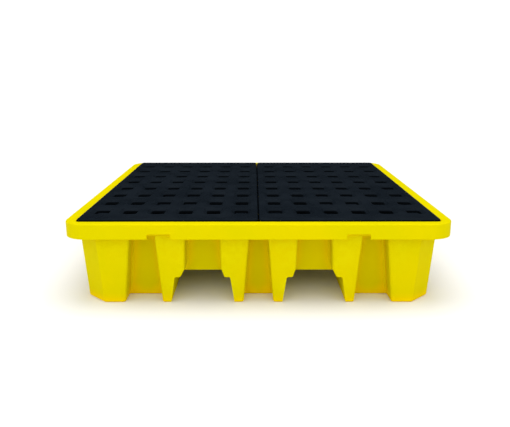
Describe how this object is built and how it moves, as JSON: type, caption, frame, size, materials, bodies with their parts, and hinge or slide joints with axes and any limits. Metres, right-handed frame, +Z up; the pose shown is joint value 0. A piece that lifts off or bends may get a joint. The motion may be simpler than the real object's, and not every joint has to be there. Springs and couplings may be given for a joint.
{
  "type": "spill containment pallet",
  "caption": "Low square spill pallet: yellow moulded sump with flanged rim, hollow feet and four-way fork channels, carrying two black lift-out drainage grates.",
  "frame": {"origin": "centre of the base, on the plane the feet stand on", "axes": "+Z up, X across the front and parallel to the two grates' short sides, -Y the front, +Y the back"},
  "size_m": [1.3, 1.3, 0.299],
  "materials": {
    "yellow_polyethylene": "smooth moulded polyethylene with a soft sheen",
    "black_polyethylene": "lightly textured moulded polyethylene"
  },
  "bodies": {
    "sump": {"corner_foot_back_right": "yellow_polyethylene", "corner_foot_back_left": "yellow_polyethylene", "corner_foot_front_left": "yellow_polyethylene", "corner_foot_front_right": "yellow_polyethylene", "middle_foot_front": "yellow_polyethylene", "middle_foot_right": "yellow_polyethylene", "middle_foot_back": "yellow_polyethylene", "middle_foot_left": "yellow_polyethylene", "centre_foot": "yellow_polyethylene", "corner_wall_front_left": "yellow_polyethylene", "corner_wall_front_right": "yellow_polyethylene", "corner_wall_right_left": "yellow_polyethylene", "corner_wall_right_right": "yellow_polyethylene", "corner_wall_back_left": "yellow_polyethylene", "corner_wall_back_right": "yellow_polyethylene", "corner_wall_left_left": "yellow_polyethylene", "corner_wall_left_right": "yellow_polyethylene", "middle_wall_front": "yellow_polyethylene", "middle_wall_right": "yellow_polyethylene", "middle_wall_back": "yellow_polyethylene", "middle_wall_left": "yellow_polyethylene", "bridge_front_left": "yellow_polyethylene", "bridge_front_right": "yellow_polyethylene", "bridge_right_left": "yellow_polyethylene", "bridge_right_right": "yellow_polyethylene", "bridge_back_left": "yellow_polyethylene", "bridge_back_right": "yellow_polyethylene", "bridge_left_left": "yellow_polyethylene", "bridge_left_right": "yellow_polyethylene", "long_roof_left": "yellow_polyethylene", "long_roof_right": "yellow_polyethylene", "cross_roof_1": "yellow_polyethylene", "cross_roof_2": "yellow_polyethylene", "cross_roof_3": "yellow_polyethylene", "cross_roof_4": "yellow_polyethylene", "cross_roof_5": "yellow_polyethylene", "cross_roof_6": "yellow_polyethylene", "shelf_front": "yellow_polyethylene", "shelf_right": "yellow_polyethylene", "shelf_back": "yellow_polyethylene", "shelf_left": "yellow_polyethylene", "rim_front": "yellow_polyethylene", "rim_right": "yellow_polyethylene", "rim_back": "yellow_polyethylene", "rim_left": "yellow_polyethylene", "pillar_1": "yellow_polyethylene", "pillar_2": "yellow_polyethylene", "pillar_3": "yellow_polyethylene", "pillar_4": "yellow_polyethylene", "pillar_5": "yellow_polyethylene", "pillar_6": "yellow_polyethylene"},
    "left_grate": {"left_grate": "black_polyethylene"},
    "right_grate": {"right_grate": "black_polyethylene"}
  },
  "joints": [
    {"name": "left_grate_lift", "type": "slide", "parent": "sump", "child": "left_grate", "axis": [0, 0, 1], "range_m": [0, 0.12]},
    {"name": "right_grate_lift", "type": "slide", "parent": "sump", "child": "right_grate", "axis": [0, 0, 1], "range_m": [0, 0.12]}
  ]
}
